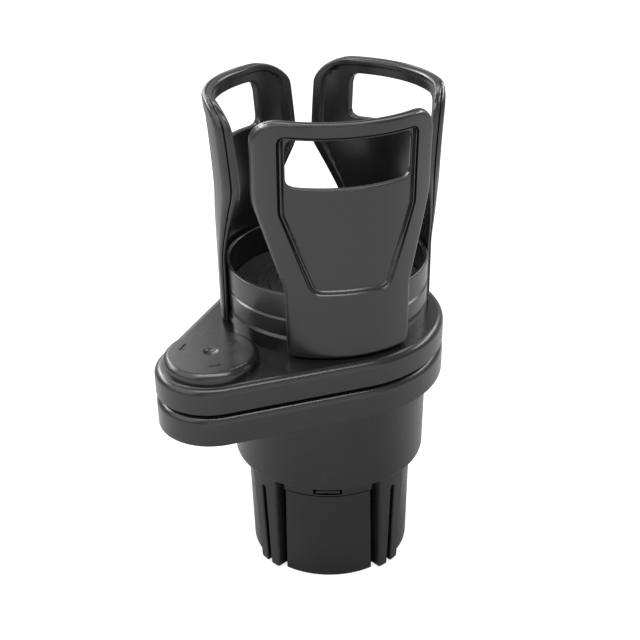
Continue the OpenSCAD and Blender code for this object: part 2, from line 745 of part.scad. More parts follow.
// Section of an arm: radius and height, with a rounded top
function arm_section() =
    let (n = 12, lip = arm_lip / 2, body = arm_h - lip)
    concat([for (i = [0:n]) [arm_out(i / n * body / arm_h), i / n * body]],
           arc(arm_out(1) - lip, body, lip, 15, 165, 6),
           [for (i = [n:-1:0]) [arm_in(i / n * body / arm_h), i / n * body]]);

// Skin of given depth on the outside of an arm, between two panel outlines
module sunk_band(inset, width, depth) {
    intersection() {
        rotate(-60) rotate_extrude(angle = 120, $fn = plate_fn)
            polygon(concat([for (i = [0:12]) [arm_out(i / 12) - depth, i / 12 * arm_h]],
                           [for (i = [12:-1:0]) [arm_out(i / 12) + over, i / 12 * arm_h]]));
        difference() {
            radial_cut(arm_r / 2, arm_r + arm_wall * 4, panel_outline(inset));
            if (width > 0) radial_cut(arm_r / 2 - over, arm_r + arm_wall * 4 + over, panel_outline(inset + width));
        }
    }
}

module arm(a) {
    rotate(a) translate([0, 0, arm_z]) {
        difference() {
            intersection() {
                rotate(-60) rotate_extrude(angle = 120, $fn = plate_fn) polygon(arm_section());
                radial_cut(arm_r / 2 - arm_travel, arm_r + arm_wall * 4, arm_outline());
            }
            radial_cut(arm_r / 2, arm_r + arm_wall * 4, window_outline());
            sunk_band(0, channel_w, channel_depth);
            sunk_band(channel_w + bead_w, channel_w, channel_depth);
            sunk_band(2 * channel_w + bead_w - fit, 0, panel_depth);
        }
        // foot that slides in the guide, with the pin that the scroll drives
        translate([arm_foot_in, -arm_foot_half, foot_z - arm_z])
            cube([arm_r - arm_wall / 2 - arm_foot_in, 2 * arm_foot_half, foot_t]);
        translate([arm_pin_at, 0, foot_z - arm_z])
            cylinder(h = ring_floor_z - pin_top_gap - foot_z, r = arm_pin_r, $fn = curve_fn);
    }
}

module arm_1() color(shell) arm(arm_angles[0]);
module arm_2() color(shell) arm(arm_angles[1]);
module arm_3() color(shell) arm(arm_angles[2]);

base_body();
base_floor();
floor_screws();
blade_1();
blade_2();
blade_3();
blade_4();
lower_scroll();
scroll_screws();
base_bolt();
lower_cup();
lower_mat();
pivot_bolt();
pivot_washer();
pivot_springs();
pivot_nut();
swing_plate();
pivot_cap();
arm_guide();
guide_screws();
ring_bolt();
cup_ring();
upper_scroll();
ring_screws();
cup_mat();
arm_1();
arm_2();
arm_3();
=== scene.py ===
import math

import bmesh
import bpy
from mathutils import Matrix, Vector
from mathutils.geometry import delaunay_2d_cdt


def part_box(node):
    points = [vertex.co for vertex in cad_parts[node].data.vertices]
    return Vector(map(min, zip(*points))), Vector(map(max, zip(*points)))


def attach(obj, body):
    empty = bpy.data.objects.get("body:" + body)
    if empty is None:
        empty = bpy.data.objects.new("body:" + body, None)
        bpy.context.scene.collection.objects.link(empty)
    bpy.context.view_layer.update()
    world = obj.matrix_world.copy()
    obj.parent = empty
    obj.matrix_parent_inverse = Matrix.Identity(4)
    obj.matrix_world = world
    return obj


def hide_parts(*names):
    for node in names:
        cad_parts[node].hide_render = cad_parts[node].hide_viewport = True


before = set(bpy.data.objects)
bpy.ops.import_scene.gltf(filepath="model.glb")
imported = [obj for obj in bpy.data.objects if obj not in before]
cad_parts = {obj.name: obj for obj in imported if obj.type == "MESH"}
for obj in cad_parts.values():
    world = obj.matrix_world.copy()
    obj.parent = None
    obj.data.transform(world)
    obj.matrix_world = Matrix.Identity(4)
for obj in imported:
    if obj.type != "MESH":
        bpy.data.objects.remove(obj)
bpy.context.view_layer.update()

# Lengths below are in millimetres, and the meshes are scaled to metres when they are made.
MM = 0.001
TINY = 1e-6
Z_UP = Vector((0, 0, 1))


def low(node):
    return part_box(node)[0] / MM


def high(node):
    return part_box(node)[1] / MM


# Places read from the frame
BASE_TOP = high("base_body").z
CUP_BOTTOM = low("lower_cup").z
CUP_TOP = high("lower_cup").z
SWING_BOTTOM = low("swing_plate").z
SWING_TOP = high("swing_plate").z
RING_BOTTOM = low("cup_ring").z
RING_TOP = high("cup_ring").z
RING_R = high("cup_ring").x
ARM_BOTTOM = low("arm_1").z
ARM_H = high("arm_1").z - ARM_BOTTOM
CAP_BOTTOM = low("pivot_cap").z
CAP_TOP = high("pivot_cap").z
CAP_FOOT_R = high("pivot_cap").y
PIVOT_X = (low("pivot_cap").x + high("pivot_cap").x) / 2
PLATE_CUP_R = high("swing_plate").x
PLATE_PIVOT_R = PIVOT_X - low("swing_plate").x


# Flat outlines

def arc(cx, cy, r, a0, a1, n):
    """n + 1 points of an arc, angles in degrees."""
    turns = [math.radians(a0 + (a1 - a0) * i / n) for i in range(n + 1)]
    return [Vector((cx + r * math.cos(a), cy + r * math.sin(a))) for a in turns]


def whole_circle(x, r, n):
    """n points of a circle with its centre at x on the X axis."""
    return arc(x, 0, r, 0, 360 - 360 / n, n - 1)


def rounded(points, radii, n=8):
    """The outline with each corner rounded by its own radius. A radius of 0 keeps the corner."""
    out = []
    count = len(points)
    for i, (q, r) in enumerate(zip(points, radii)):
        p, q, s = Vector(points[i - 1]), Vector(q), Vector(points[(i + 1) % count])
        if r <= 0:
            out.append(q)
            continue
        u, v = (p - q).normalized(), (s - q).normalized()
        half = u.angle(v) / 2
        centre = q + (u + v).normalized() * r / math.sin(half)
        a = q + u * r / math.tan(half) - centre
        b = q + v * r / math.tan(half) - centre
        start = math.atan2(a.y, a.x)
        sweep = (math.atan2(b.y, b.x) - start + math.pi) % math.tau - math.pi
        for k in range(n + 1):
            t = start + sweep * k / n
            out.append(centre + r * Vector((math.cos(t), math.sin(t))))
    return out


def both_sides(half, radii, n=8):
    """The outline given by its right half, bottom to top, and its mirror image."""
    points = list(half) + [(-x, y) for x, y in reversed(half)]
    return rounded(points, list(radii) + list(reversed(radii)), n)


def inset(points, distance):
    """The outline moved inwards by distance, for an outline that runs anticlockwise."""
    out = []
    count = len(points)
    for i, q in enumerate(points):
        p, s = points[i - 1], points[(i + 1) % count]
        d1, d2 = (q - p).normalized(), (s - q).normalized()
        n1, n2 = Vector((-d1.y, d1.x)), Vector((-d2.y, d2.x))
        out.append(q + (n1 + n2) * distance / (1 + n1.dot(n2)))
    return out


def inside(point, outline):
    """True if point lies inside the outline."""
    hit = False
    for i, b in enumerate(outline):
        a = outline[i - 1]
        if (a.y > point.y) != (b.y > point.y):
            if point.x < (b.x - a.x) * (point.y - a.y) / (b.y - a.y) + a.x:
                hit = not hit
    return hit


# Mesh building

# The triangulation's mode that leaves out what lies outside the outer loop
INSIDE_ONLY = 1
CUT_REACH = 1e-4
STRAIGHT_ANGLE = 179.9


def shells(bm):
    """The mesh's separate closed shells, each a list of faces."""
    left = set(bm.faces)
    while left:
        shell, waiting = [], [left.pop()]
        while waiting:
            face = waiting.pop()
            shell.append(face)
            beside = {other for edge in face.edges for other in edge.link_faces} & left
            left -= beside
            waiting += beside
        yield shell


def volume(faces):
    """Volume that the faces enclose, below zero if they face inwards."""
    total = 0
    for face in faces:
        a, *rest = [v.co for v in face.verts]
        total += sum(a.dot(b.cross(c)) for b, c in zip(rest, rest[1:])) / 6
    return total


def finish_mesh(bm, name, sharp=50, weighted=True):
    """The mesh as an object in metres, smooth but for its sharp edges."""
    bmesh.ops.recalc_face_normals(bm, faces=bm.faces)
    for shell in shells(bm):
        if volume(shell) < 0:
            bmesh.ops.reverse_faces(bm, faces=shell)
    bmesh.ops.scale(bm, vec=(MM, MM, MM), verts=bm.verts)
    for face in bm.faces:
        face.smooth = True
    for edge in bm.edges:
        edge.seam = False
        edge.smooth = not (edge.is_manifold and edge.calc_face_angle(0) > math.radians(sharp))
    mesh = bpy.data.meshes.new(name)
    bm.to_mesh(mesh)
    bm.free()
    obj = bpy.data.objects.new(name, mesh)
    bpy.context.scene.collection.objects.link(obj)
    if weighted:
        normals = obj.modifiers.new("even_normals", "WEIGHTED_NORMAL")
        normals.keep_sharp = True
        normals.weight = 80
    return obj


def add_flat(bm, loops, holes):
    """One face of a relief. Loops and holes are (outline, depth), and the first loop is the rim.
    Returns the vertices of each loop and hole."""
    coords, edges, depths, spans = [], [], [], []
    for outline, depth in loops + holes:
        first = len(coords)
        coords += outline
        depths += [depth] * len(outline)
        edges += [(first + i, first + (i + 1) % len(outline)) for i in range(len(outline))]
        spans.append((first, len(outline)))
    points, _, faces, origin, _, _ = delaunay_2d_cdt(coords, edges, [], INSIDE_ONLY, TINY, True)
    made = [bm.verts.new((p.x, p.y, depths[o[0]])) for p, o in zip(points, origin)]
    place = {old: i for i, olds in enumerate(origin) for old in olds}
    rim = loops[0][0]
    for face in faces:
        centre = sum((points[i] for i in face), Vector((0, 0))) / len(face)
        if inside(centre, rim) and not any(inside(centre, outline) for outline, _ in holes):
            bm.faces.new([made[i] for i in face])
    rings = [[made[place[first + i]] for i in range(count)] for first, count in spans]
    for ring in rings:
        for i, vertex in enumerate(ring):
            edge = bm.edges.get((ring[i - 1], vertex))
            if edge:
                edge.seam = True
    return rings


def add_wall(bm, ring_a, ring_b):
    """Joins two rings of vertices with a band of faces."""
    for i in range(len(ring_a)):
        face = bm.faces.new((ring_a[i - 1], ring_a[i], ring_b[i], ring_b[i - 1]))
        for edge in face.edges:
            edge.seam = True


def relief(front, back, front_holes=(), back_holes=(), rim=()):
    """A closed wall drawn flat. Each side is a list of (outline, depth) from its rim inwards, and each hole is
    such a list with its edge last. The rim holds further loops round the wall's edge, from front to back."""
    bm = bmesh.new()
    sides = []
    for loops, holes in ((front, front_holes), (back, back_holes)):
        steps = list(loops) + [step for hole in holes for step in hole[:-1]]
        sides.append((add_flat(bm, steps, [hole[-1] for hole in holes]), len(steps)))
    (front_rings, front_count), (back_rings, back_count) = sides
    band = [[bm.verts.new((p.x, p.y, depth)) for p in outline] for outline, depth in rim]
    band = [front_rings[0], *band, back_rings[0]]
    for ring_a, ring_b in zip(band, band[1:]):
        add_wall(bm, ring_a, ring_b)
    for ring_a, ring_b in zip(front_rings[front_count:], back_rings[back_count:]):
        add_wall(bm, ring_a, ring_b)
    return bm


def edge_steps(outline, radius, depth, sign=1, steps=4, drop=None):
    """Loops that round an edge over, from the rim to the flat at depth. The rounding goes as deep as the drop."""
    drop = drop or radius
    out = []
    for k in range(steps + 1):
        a = math.pi / 2 * k / steps
        out.append((outline(sign * radius * (1 - math.cos(a))), depth + drop * (1 - math.sin(a))))
    return out


def rounded_edge(outline, radius, sign=1, steps=2):
    """Loops that round the edge of an outline, at depth 0."""
    return edge_steps(lambda d: inset(outline, d), radius, 0, sign, steps)


def from_back(loops, wall):
    """Loops of a wall's inner side, with their depths measured from its outer face."""
    return [(loop, wall - depth) for loop, depth in loops]


def cut_cells(bm, cell_x, cell_y):
    """Cuts a flat relief along a grid, so that it can be bent, and clears the first triangles' diagonals."""
    for edge in bm.edges:
        edge.smooth = edge.seam
    for axis, cell in ((0, cell_x), (1, cell_y)):
        values = [v.co[axis] for v in bm.verts]
        for k in range(math.ceil(min(values) / cell), math.floor(max(values) / cell) + 1):
            point, normal = Vector(), Vector()
            point[axis], normal[axis] = k * cell, 1
            everything = bm.verts[:] + bm.edges[:] + bm.faces[:]
            bmesh.ops.bisect_plane(bm, geom=everything, dist=CUT_REACH, plane_co=point, plane_no=normal)
    diagonals = [edge for edge in bm.edges if not edge.smooth]
    bmesh.ops.dissolve_edges(bm, edges=diagonals, use_verts=False)
    loose = [v for v in bm.verts if len(v.link_edges) == 2 and straight(v)]
    bmesh.ops.dissolve_verts(bm, verts=loose)


def straight(vertex):
    """True if a vertex of two edges lies on a straight line."""
    a, b = (edge.other_vert(vertex).co - vertex.co for edge in vertex.link_edges)
    return a.length < TINY or b.length < TINY or a.angle(b) > math.radians(STRAIGHT_ANGLE)


def bend(bm, place):
    """Moves each vertex of a flat drawing to its place in space."""
    for v in bm.verts:
        v.co = place(v.co)


def add_loft(bm, loops):
    """Closed surface through loops of equally many points."""
    rings = [[bm.verts.new(p) for p in loop] for loop in loops]
    for ring_a, ring_b in zip(rings, rings[1:]):
        for i in range(len(ring_a)):
            bm.faces.new((ring_a[i - 1], ring_a[i], ring_b[i], ring_b[i - 1]))
    for ring in (rings[0], rings[-1]):
        centre = bm.verts.new(sum((v.co for v in ring), Vector()) / len(ring))
        for i in range(len(ring)):
            bm.faces.new((ring[i - 1], ring[i], centre))


def add_lathe(bm, profile, centre=(0, 0), steps=160):
    """Turns a closed profile of (radius, height) points round a vertical axis."""
    x, y = centre
    turns = [math.tau * k / steps for k in range(steps)]
    rings = []
    for r, z in profile:
        if r < TINY:
            rings.append([bm.verts.new((x, y, z))] * steps)
        else:
            rings.append([bm.verts.new((x + r * math.cos(t), y + r * math.sin(t), z)) for t in turns])
    for j in range(len(rings)):
        ring_a, ring_b = rings[j - 1], rings[j]
        for i in range(steps):
            corners = [ring_a[i - 1], ring_a[i], ring_b[i], ring_b[i - 1]]
            corners = [v for k, v in enumerate(corners) if v != corners[k - 1]]
            if len(set(corners)) > 2:
                bm.faces.new(corners)


def add_pin(bm, r, bottom, top, edge, x=0, steps=32):
    """Upright pin with a bevelled top edge, at x on the X axis."""
    add_lathe(bm, [(0, bottom), (r, bottom), (r, top - edge), (r - edge, top), (0, top)], (x, 0), steps)


def add_tube(bm, r_in, r_out, bottom, top, x=0, steps=64):
    """Upright tube at x on the X axis."""
    add_lathe(bm, [(r_in, bottom), (r_out, bottom), (r_out, top), (r_in, top)], (x, 0), steps)


def merge(bm, part):
    """Adds a mesh to another."""
    scratch = bpy.data.meshes.new("scratch")
    part.to_mesh(scratch)
    part.free()
    bm.from_mesh(scratch)
    bpy.data.meshes.remove(scratch)


def add_block(bm, lowest, highest, matrix=None, edge=0.3):
    """Box with bevelled edges."""
    part = bmesh.new()
    bmesh.ops.create_cube(part, size=1)
    lowest, highest = Vector(lowest), Vector(highest)
    for v in part.verts:
        v.co = Vector((v.co[i] + 0.5) * (highest[i] - lowest[i]) + lowest[i] for i in range(3))
    bmesh.ops.bevel(part, geom=part.edges[:], offset=edge, segments=2, affect="EDGES", profile=0.5)
    if matrix:
        bmesh.ops.transform(part, matrix=matrix, verts=part.verts)
    merge(bm, part)


def turn(degrees):
    """Rotation about the cup's axis."""
    return Matrix.Rotation(math.radians(degrees), 4, "Z")


def dress(obj, body, slot, material, *nodes):
    """The piece stands for its CAD nodes, rides on their body and wears the material."""
    obj.data.materials.append(material)
    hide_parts(*nodes)
    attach(obj, body)
    return obj


# Finishes

GRAIN_DETAIL = 3
GRAIN_STRENGTH = 0.35
CLOUD_SCALE = 45
CLOUD_RANGE = (0.3, 0.7)
SHELL_SHADES = ((0.008, 0.008, 0.0083), (0.011, 0.011, 0.0113))
GEAR_SHADES = ((0.05, 0.05, 0.052), (0.07, 0.07, 0.072))
MAT_SHADES = ((0.006, 0.006, 0.006), (0.010, 0.010, 0.010))
ZINC_SHADES = ((0.36, 0.36, 0.37), (0.44, 0.44, 0.44))


def new_group(name, inputs, outputs):
    group = bpy.data.node_groups.new(name, "ShaderNodeTree")
    for label, kind, value in inputs:
        socket = group.interface.new_socket(name=label, in_out="INPUT", socket_type=kind)
        if value is not None:
            socket.default_value = value
    for label, kind in outputs:
        group.interface.new_socket(name=label, in_out="OUTPUT", socket_type=kind)
    return group, group.nodes.new("NodeGroupInput"), group.nodes.new("NodeGroupOutput")


def noise(tree, scale, detail, coordinates):
    """Cloudy value between 0 and 1."""
    node = tree.nodes.new("ShaderNodeTexNoise")
    node.inputs["Scale"].default_value = scale
    node.inputs["Detail"].default_value = detail
    tree.links.new(coordinates, node.inputs["Vector"])
    return node.outputs["Fac"]


def remap(tree, value, low_in, high_in, low_out, high_out):
    """The value carried from one range to another, and held at its ends."""
    node = tree.nodes.new("ShaderNodeMapRange")
    tree.links.new(value, node.inputs["Value"])
    ends = {"From Min": low_in, "From Max": high_in, "To Min": low_out, "To Max": high_out}
    for label, number in ends.items():
        if isinstance(number, (int, float)):
            node.inputs[label].default_value = number
        else:
            tree.links.new(number, node.inputs[label])
    return node.outputs["Result"]


def spark_grain_group():
    """Fine spark-eroded grain of a moulded surface: a height, and a roughness that drifts slowly."""
    group, given, result = new_group(
        "spark_grain",
        [("Grain Scale", "NodeSocketFloat", 3000.0), ("Roughness", "NodeSocketFloat", 0.4),
         ("Drift", "NodeSocketFloat", 0.05)],
        [("Height", "NodeSocketFloat"), ("Roughness", "NodeSocketFloat"), ("Shade", "NodeSocketFloat")])
    place = group.nodes.new("ShaderNodeTexCoord").outputs["Object"]
    grain = group.nodes.new("ShaderNodeTexNoise")
    grain.inputs["Detail"].default_value = GRAIN_DETAIL
    group.links.new(given.outputs["Grain Scale"], grain.inputs["Scale"])
    group.links.new(place, grain.inputs["Vector"])
    cloud = noise(group, CLOUD_SCALE, GRAIN_DETAIL, place)
    lowest = group.nodes.new("ShaderNodeMath")
    lowest.operation = "SUBTRACT"
    highest = group.nodes.new("ShaderNodeMath")
    highest.operation = "ADD"
    for node in (lowest, highest):
        group.links.new(given.outputs["Roughness"], node.inputs[0])
        group.links.new(given.outputs["Drift"], node.inputs[1])
    rough = remap(group, cloud, *CLOUD_RANGE, lowest.outputs[0], highest.outputs[0])
    group.links.new(grain.outputs["Fac"], result.inputs["Height"])
    group.links.new(rough, result.inputs["Roughness"])
    group.links.new(cloud, result.inputs["Shade"])
    return group


def moulded(name, shades, roughness, drift, grain_scale, grain_depth, metallic=0):
    """Material between two close shades, with the mould's grain. The drift is how far its roughness varies."""
    material = bpy.data.materials.new(name)
    material.use_nodes = True
    tree = material.node_tree
    shader = tree.nodes["Principled BSDF"]
    shader.inputs["Metallic"].default_value = metallic
    grain = tree.nodes.new("ShaderNodeGroup")
    grain.node_tree = GRAIN
    grain.inputs["Grain Scale"].default_value = grain_scale
    grain.inputs["Roughness"].default_value = roughness
    grain.inputs["Drift"].default_value = drift
    mix = tree.nodes.new("ShaderNodeMix")
    mix.data_type = "RGBA"
    mix.inputs["A"].default_value = (*shades[0], 1)
    mix.inputs["B"].default_value = (*shades[1], 1)
    tree.links.new(grain.outputs["Shade"], mix.inputs["Factor"])
    tree.links.new(mix.outputs["Result"], shader.inputs["Base Color"])
    tree.links.new(grain.outputs["Roughness"], shader.inputs["Roughness"])
    bump = tree.nodes.new("ShaderNodeBump")
    bump.inputs["Strength"].default_value = GRAIN_STRENGTH
    bump.inputs["Distance"].default_value = grain_depth * MM
    tree.links.new(grain.outputs["Height"], bump.inputs["Height"])
    tree.links.new(bump.outputs["Normal"], shader.inputs["Normal"])
    return material


GRAIN = spark_grain_group()
SATIN = moulded("satin_black", SHELL_SHADES, roughness=0.27, drift=0.03, grain_scale=2600, grain_depth=0.012)
BLADE_BLACK = moulded("blade_black", SHELL_SHADES, roughness=0.26, drift=0.04, grain_scale=2200, grain_depth=0.015)
GEAR_GREY = moulded("gear_grey", GEAR_SHADES, roughness=0.45, drift=0.04, grain_scale=1800, grain_depth=0.04)
MAT_BLACK = moulded("mat_rubber", MAT_SHADES, roughness=0.82, drift=0.06, grain_scale=1200, grain_depth=0.10)
ZINC = moulded("zinc_plate", ZINC_SHADES, roughness=0.5, drift=0.08, grain_scale=900, grain_depth=0.02, metallic=1)


# Claw arms

ARM_R = 42.1
ARM_WALL = 2.4
ARM_LIP = 4.2
ARM_FLARE = 2.2
ARM_STRAIGHT_SHARE = 0.35
ARM_FLARE_POWER = 2.2
ARM_THIN_SHARE = 0.3
ARM_THICK_SHARE = 0.65
ARM_FOOT_SIDE = 23.2
ARM_TOP_SIDE = 32.3
ARM_ANGLES = (-1, 119, 239)
# Width and height of the cells that a wall is cut into before it is bent
ARM_CELL = (1.6, 2.4)
ARM_BEND_R = 24
ARM_CORNER_R = 9.5
ARM_FOOT_TAPER = 0.4
ARM_FOOT_R = 1.5
ARM_FOOT_LEAST_R = 0.4
ARM_SHOULDER_SHARE = 0.295
ARM_WIDEST_SHARE = 0.64
ARM_EDGE = 1.2
ARM_EDGE_DEPTH = 0.8
# Fine crease round the edge of an arm: (distance in from its outline, depth below the outer face)
ARM_CREASE = ((0.03, 0.86), (0.42, 0.94), (0.5, 1.04), (0.42, 1.14), (0.03, 1.22))
WINDOW_SIDE = 22.0
WINDOW_H = 17.4
WINDOW_DROP = 6.2
WINDOW_ROUND = 3.0
WINDOW_EDGE = 0.42
FOOT_HALF = 10.0
FOOT_IN = 14.0
FOOT_LIFT = 0.6
FOOT_T = 2.2
ARM_PIN_R = 2.0
ARM_PIN_AT = 20
ARM_PIN_H = 5.1
ARM_PIN_EDGE = 0.4
PIN_SINK = 1
# Bead between two grooves round the sunk panel: (distance in from its outline, depth)
GROOVE_STEPS = ((0.0, 0.0), (0.12, 0.05), (0.5, 0.52), (0.62, 0.6), (0.8, 0.6), (1.12, 0.14), (1.26, 0.04),
                (1.5, 0.02), (1.66, 0.08), (2.0, 0.5), (2.15, 0.56), (2.35, 0.55), (2.55, 0.5))
GROOVE_SIDE_SHARE = 0.875
GROOVE_TOP_SHARE = 0.36
PANEL_DEPTH = 0.5
PANEL_FOOT_INSET = 8.5
PANEL_SIDE_INSET = 7.4
PANEL_TOP_INSET = 4.7
PANEL_FOOT_SHARE = 0.287
PANEL_WIDE_SHARE = 0.625
PANEL_CORNERS = (5.2, 4.5, 3.2)
# Raised rim round the inside of an arm: (distance in from its outline, depth below the rim)
RIM_STEPS = ((2.4, 0.0), (2.7, 0.12), (3.0, 0.45))


def flare(share):
    """How far an arm has flared at a share of its height, from 0 to 1."""
    if share < ARM_STRAIGHT_SHARE:
        return 0
    return ((share - ARM_STRAIGHT_SHARE) / (1 - ARM_STRAIGHT_SHARE)) ** ARM_FLARE_POWER


def arm_outline(d):
    """Outline of an arm, side and height, drawn in by d."""
    side, top = ARM_FOOT_SIDE - d, ARM_TOP_SIDE - d
    half = [(side - ARM_FOOT_TAPER, d), (side, ARM_H * ARM_SHOULDER_SHARE), (top, ARM_H * ARM_WIDEST_SHARE),
            (top, ARM_H - d)]
    return both_sides(half, [max(ARM_FOOT_R - d, ARM_FOOT_LEAST_R), ARM_BEND_R, ARM_BEND_R, ARM_CORNER_R - d], 12)


def panel_outline(d):
    """Outline of an arm's sunk panel, drawn in by d."""
    foot = ARM_FOOT_SIDE - PANEL_FOOT_INSET - d
    side = ARM_TOP_SIDE - PANEL_SIDE_INSET - d * GROOVE_SIDE_SHARE
    top = ARM_H - PANEL_TOP_INSET - d * GROOVE_TOP_SHARE
    half = [(foot, ARM_H * PANEL_FOOT_SHARE + d), (side, ARM_H * PANEL_WIDE_SHARE), (side, top)]
    return both_sides(half, [corner - d for corner in PANEL_CORNERS])


def window_outline(d):
    """Outline of an arm's window, drawn in by d."""
    side, top = WINDOW_SIDE - d, ARM_H - WINDOW_DROP
    return both_sides([(side, top - WINDOW_H + d), (side, top - d)], [WINDOW_ROUND - d] * 2, 6)


def arm_place(co):
    """Bends the flat drawing of an arm: side, height and depth below its outer face. Its wall thickens upwards."""
    share = min(max(co.y / ARM_H, 0), 1)
    u = min(max((share - ARM_THIN_SHARE) / (ARM_THICK_SHARE - ARM_THIN_SHARE), 0), 1)
    smooth = u * u * (3 - 2 * u)
    wall = ARM_WALL + (ARM_LIP - ARM_WALL) * smooth
    r = ARM_R + ARM_FLARE * flare(share) - co.z * wall / ARM_WALL
    return Vector((math.sqrt(r * r - co.x * co.x), co.x, ARM_BOTTOM + co.y))


def make_arm(name, angle):
    rim = edge_steps(arm_outline, ARM_EDGE, 0, drop=ARM_EDGE_DEPTH)
    front = rim + [(panel_outline(step), depth) for step, depth in GROOVE_STEPS]
    back = rim + [(arm_outline(step), depth) for step, depth in RIM_STEPS]
    front_hole = edge_steps(window_outline, WINDOW_EDGE, PANEL_DEPTH, -1)[::-1]
    back_hole = edge_steps(window_outline, WINDOW_EDGE, RIM_STEPS[-1][1], -1)[::-1]
    crease = [(arm_outline(step), depth) for step, depth in ARM_CREASE]
    bm = relief(front, from_back(back, ARM_WALL), [front_hole], [from_back(back_hole, ARM_WALL)], crease)
    cut_cells(bm, *ARM_CELL)
    bend(bm, arm_place)
    foot_z = ARM_BOTTOM + FOOT_LIFT
    add_block(bm, (FOOT_IN, -FOOT_HALF, foot_z), (ARM_R - ARM_WALL / 2, FOOT_HALF, foot_z + FOOT_T))
    add_pin(bm, ARM_PIN_R, foot_z + PIN_SINK, foot_z + ARM_PIN_H, ARM_PIN_EDGE, ARM_PIN_AT)
    bmesh.ops.transform(bm, matrix=turn(angle), verts=bm.verts)
    return finish_mesh(bm, name)


for number, (angle, body) in enumerate(zip(ARM_ANGLES, ("arm_a", "arm_b", "arm_c")), 1):
    dress(make_arm(f"claw_arm_{number}", angle), body, "shell_plastic", SATIN, f"arm_{number}")


# Ring of the upper cup

def groove(r, z, width, depth):
    """Profile points of a groove that runs upwards round a wall of radius r, with its top edge at z."""
    return [(r, z - width, 0.2), (r - depth, z - width + depth, 0.1), (r - depth, z, 0.1), (r, z, 0.25)]


def lathe_profile(corners, n=4):
    """Profile with rounded corners, each given as (radius, height, rounding)."""
    return [tuple(p) for p in rounded([c[:2] for c in corners], [c[2] for c in corners], n)]


RING_WALL = 1.8
RING_FLOOR = 2.4
RING_EDGE = 0.7
RING_GROOVE_TOP = 7.9
RING_GROOVE_W = 1.5
RING_GROOVE_DEPTH = 0.65
HUB_R = 4.05


def make_ring():
    inner = RING_R - RING_WALL
    floor_top = RING_BOTTOM + RING_FLOOR
    profile = lathe_profile([
        (HUB_R, RING_BOTTOM, 0.2), (RING_R - 0.1, RING_BOTTOM, 0.3),
        *groove(RING_R, RING_BOTTOM + RING_GROOVE_TOP, RING_GROOVE_W, RING_GROOVE_DEPTH),
        (RING_R, RING_TOP, RING_EDGE), (inner, RING_TOP, RING_EDGE), (inner, floor_top, 0.8),
        (HUB_R, floor_top, 0.2)])
    bm = bmesh.new()
    add_lathe(bm, profile, steps=192)
    return finish_mesh(bm, "holder_ring")


dress(make_ring(), "ring", "shell_plastic", SATIN, "cup_ring")


# Mats

MAT_RIB = 2.4
MAT_CHANNEL_DEPTH = 0.7
MAT_SLOPE = 0.3
UPPER_MAT_BORE_R = 7.6
BOTTOM_MAT_BORE_R = 5.3


def make_mat(name, node, bore):
    """Rubber mat with concentric ribs and drip channels between them."""
    bottom, top = low(node).z, high(node).z
    r = high(node).x
    floor_z = top - MAT_CHANNEL_DEPTH
    corners = [(bore, bottom, 0.2), (r, bottom, 0.2), (r, top, 0.5)]
    outer = r - MAT_RIB
    while outer - MAT_RIB > bore + MAT_RIB:
        inner = outer - MAT_RIB
        corners += [(outer, top, 0.25), (outer - MAT_SLOPE, floor_z, 0.2), (inner + MAT_SLOPE, floor_z, 0.2),
                    (inner, top, 0.25)]
        outer -= 2 * MAT_RIB
    corners.append((bore, top, 0.4))
    bm = bmesh.new()
    add_lathe(bm, lathe_profile(corners, 3), steps=128)
    return finish_mesh(bm, name)


dress(make_mat("upper_mat", "cup_mat", UPPER_MAT_BORE_R), "ring", "mat_rubber", MAT_BLACK, "cup_mat")
dress(make_mat("bottom_mat", "lower_mat", BOTTOM_MAT_BORE_R), "cup", "mat_rubber", MAT_BLACK, "lower_mat")


# Teardrop plates

PLATE_ROUND = 3.0
PLATE_SKIN = 2.4
PLATE_SIDE = 2.2
PLATE_RIB = 1.8
RIB_REACH = 22
RIB_FAN = (-24, 0, 24)
SIDE_RIBS = (90, 270)
# How far a rib or a boss runs into the skin that carries it
RIB_SINK = 0.2
BOSS_SINK = 0.5
PIVOT_BORE_R = 5.1
PIVOT_BOSS_R = 9.5
PIVOT_BOSS_BORE_R = 5.05
RING_BOLT_BORE_R = 2.7
RING_BOSS_R = 8
RING_BOSS_BORE_R = 2.65
RING_BOSS_LIFT = 0.3
RING_RIB_R = 35.6
# Points on each straight side of a plate that is lofted with circles
LOFT_SIDE = 26


def teardrop(offset, side=LOFT_SIDE):
    """Outline of a plate, drawn in by offset, with the same number of points for each offset."""
    r1, r2, reach = PLATE_CUP_R - offset, PLATE_PIVOT_R - offset, -PIVOT_X
    a = math.degrees(math.acos((r1 - r2) / reach))
    big = arc(0, 0, r1, a - 180, 180 - a, 110)
    small = arc(PIVOT_X, 0, r2, 180 - a, 180 + a, 56)
    there = [big[-1].lerp(small[0], k / side) for k in range(1, side)]
    back = [small[-1].lerp(big[0], k / side) for k in range(1, side)]
    return big + there + small + back


def ring_like(outline, r):
    """Circle round the cup's axis with a point in the direction of each of the outline's."""
    return [p.normalized() * r for p in outline]


def at_height(outline, z):
    """Loop in space from a flat outline."""
    return [Vector((p.x, p.y, z)) for p in outline]


def between(loop_a, loop_b, count):
    """Loops in between two others."""
    return [[a.lerp(b, k / count) for a, b in zip(loop_a, loop_b)] for k in range(1, count)]


def quarter(steps):
    """Pairs (sine, cosine) through a quarter turn."""
    turns = [math.pi / 2 * k / steps for k in range(steps + 1)]
    return [(math.sin(a), math.cos(a)) for a in turns]


def rounded_rim(top, radius, side=LOFT_SIDE):
    """Loops of a plate's rounded top edge, from the flat outwards and down."""
    steps = [(radius * (1 - sine), radius * (1 - cosine)) for sine, cosine in quarter(8)]
    return [at_height(teardrop(offset, side), top - drop) for offset, drop in steps]


